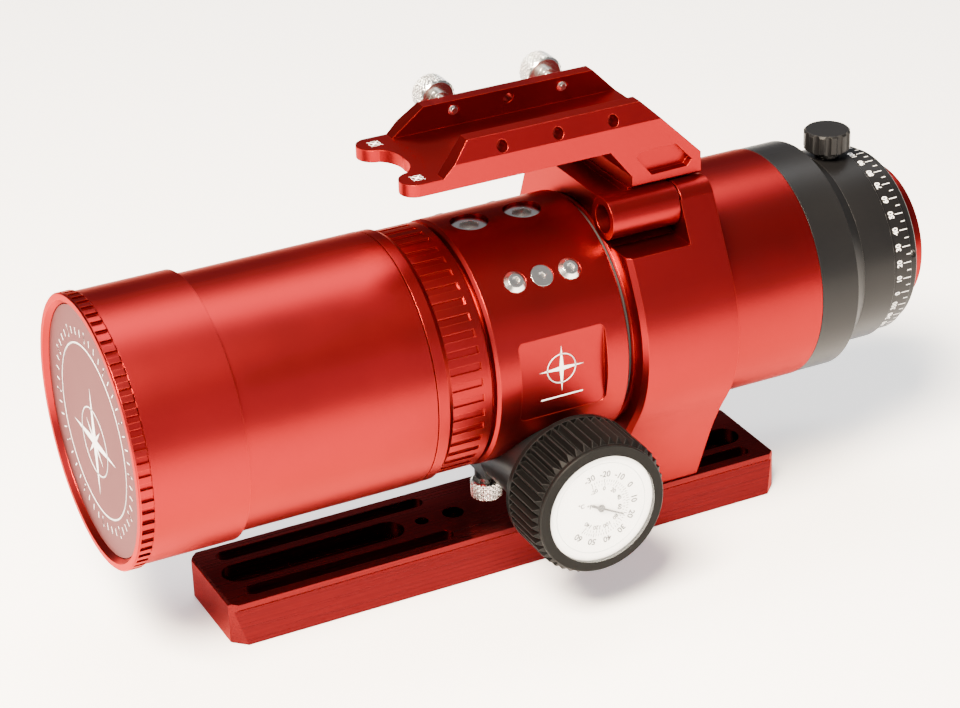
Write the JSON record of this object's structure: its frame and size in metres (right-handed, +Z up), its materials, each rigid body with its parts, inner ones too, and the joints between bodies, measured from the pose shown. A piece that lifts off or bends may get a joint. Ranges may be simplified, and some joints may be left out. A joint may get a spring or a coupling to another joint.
{
  "type": "astrograph refractor on a dovetail mount",
  "caption": "Short red refractor held in a hinged clamshell ring on a dovetail bar, with side focus knob, guide-scope saddle and camera rotator.",
  "frame": {"origin": "centre of the dovetail bar's bottom face", "axes": "+X along the optical axis towards the camera end, +Z up away from the bar's bottom face, the focus knob on -Y"},
  "size_m": [0.3128, 0.1386, 0.1695],
  "materials": {
    "red_satin": "satin bead-blasted red anodise",
    "red_bar": "brushed red anodise",
    "red_cap_rim": "satin red anodise",
    "cap_plate": "matt red anodise",
    "black_satin": "satin black anodise",
    "black_knob": "black anodise",
    "black_bezel": "smooth black anodise",
    "black_scale": "satin black anodise with white engraving",
    "steel": "polished stainless",
    "steel_knurled": "knurled stainless",
    "brass": "satin",
    "dial_white": "gloss white print",
    "needle_grey": "matt",
    "lens_glass": "coated",
    "cover_glass": "clear",
    "rubber": "matt black",
    "felt": "black felt",
    "clear_mask": "clear acrylic"
  },
  "bodies": {
    "base": {"dovetail_bar": "red_bar", "bar_bolts": "steel", "cradle_lower": "red_satin", "hinge_pin": "steel", "body_tube": "red_satin", "guide_plugs": "steel", "guide_button_screws": "steel", "guide_flat_screws": "steel", "guide_pads": "brass", "guide_rail": "steel", "focuser_housing": "black_satin", "shaft_bushings": "brass", "shaft_end_cap": "black_satin", "lock_screw_collar": "black_satin", "objective_cell": "black_satin", "objective_front_lens": "lens_glass", "objective_rear_lens": "lens_glass", "objective_spacer": "black_satin", "objective_retainer": "black_satin", "rear_tube": "red_satin", "tube_seal": "rubber", "rear_adapter": "black_satin", "rotator_housing": "black_satin"},
    "ring_top": {"cradle_upper": "red_satin", "saddle_plate": "red_satin", "saddle_bolts": "steel"},
    "ring_clamp": {"ring_clamp_screw": "steel_knurled"},
    "saddle_screw_a": {"saddle_screw_front": "steel_knurled"},
    "saddle_screw_b": {"saddle_screw_rear": "steel_knurled"},
    "shield": {"dew_shield": "red_satin"},
    "collar": {"lock_ring": "red_satin"},
    "cap": {"cap_rim": "red_cap_rim", "cap_sleeve": "red_satin", "focus_mask": "clear_mask", "cap_felt": "felt"},
    "cap_plate_body": {"cap_face_plate": "cap_plate"},
    "focus": {"focus_knob": "black_knob", "knob_bezel": "black_bezel", "thermometer_dial": "dial_white", "thermometer_glass": "cover_glass", "thermometer_case": "black_satin", "pinion_shaft": "steel", "focus_pinion": "brass"},
    "needle": {"thermometer_needle": "needle_grey"},
    "carriage": {"focus_carriage": "black_satin", "focus_rack": "steel", "focus_lens_front": "lens_glass", "focus_lens_rear": "lens_glass", "focus_lens_retainer": "black_satin"},
    "focus_lock": {"focus_lock_screw": "steel_knurled"},
    "rotator": {"scale_ring": "black_scale", "camera_flange": "red_satin", "flange_set_screws": "steel"},
    "rotator_lock": {"rotator_lock_screw": "black_satin"}
  },
  "joints": [
    {"name": "ring_open", "type": "hinge", "parent": "base", "child": "ring_top", "pos_m": [0.056, -0.0235, 0.129], "axis": [1, 0, 0], "range_deg": [0, 70]},
    {"name": "ring_clamp_turn", "type": "hinge", "parent": "ring_top", "child": "ring_clamp", "pos_m": [0.056, 0.05408, 0.08337], "axis": [0, 0.507, 0.862], "range_deg": [-360, 360]},
    {"name": "saddle_screw_front_turn", "type": "hinge", "parent": "ring_top", "child": "saddle_screw_a", "pos_m": [-0.001, 0.0315, 0.163], "axis": [0, 1, 0], "range_deg": [-360, 360]},
    {"name": "saddle_screw_rear_turn", "type": "hinge", "parent": "ring_top", "child": "saddle_screw_b", "pos_m": [0.041, 0.0315, 0.163], "axis": [0, 1, 0], "range_deg": [-360, 360]},
    {"name": "dew_shield_turn", "type": "hinge", "parent": "base", "child": "shield", "pos_m": [-0.086, 0, 0.0843], "axis": [1, 0, 0], "continuous": true},
    {"name": "lock_ring_turn", "type": "hinge", "parent": "base", "child": "collar", "pos_m": [-0.028, 0, 0.0843], "axis": [1, 0, 0], "continuous": true},
    {"name": "cap_pull", "type": "slide", "parent": "shield", "child": "cap", "axis": [-1, 0, 0], "range_m": [0, 0.045]},
    {"name": "cap_plate_turn", "type": "hinge", "parent": "cap", "child": "cap_plate_body", "pos_m": [-0.143, 0, 0.0843], "axis": [1, 0, 0], "continuous": true},
    {"name": "focus_turn", "type": "hinge", "parent": "base", "child": "focus", "pos_m": [0.0083, 0, 0.0458], "axis": [0, 1, 0], "range_deg": [-85.9, 85.9]},
    {"name": "carriage_travel", "type": "slide", "parent": "base", "child": "carriage", "axis": [1, 0, 0], "range_m": [-0.0076, 0.0076]},
    {"name": "needle_swing", "type": "hinge", "parent": "focus", "child": "needle", "pos_m": [0.0083, -0.0695, 0.0458], "axis": [0, 1, 0], "range_deg": [-136, 107]},
    {"name": "focus_lock_turn", "type": "hinge", "parent": "base", "child": "focus_lock", "pos_m": [-0.0035, -0.005, 0.0255], "axis": [0, 0, 1], "range_deg": [-360, 360]},
    {"name": "rotator_turn", "type": "hinge", "parent": "base", "child": "rotator", "pos_m": [0.148, 0, 0.0843], "axis": [1, 0, 0], "continuous": true},
    {"name": "rotator_lock_turn", "type": "hinge", "parent": "base", "child": "rotator_lock", "pos_m": [0.141, 0, 0.127], "axis": [0, 0, 1], "range_deg": [-360, 360]}
  ],
  "couplings": [
    {"joint": "carriage_travel", "follows": "focus_turn", "m_per_rad": 0.005}
  ]
}
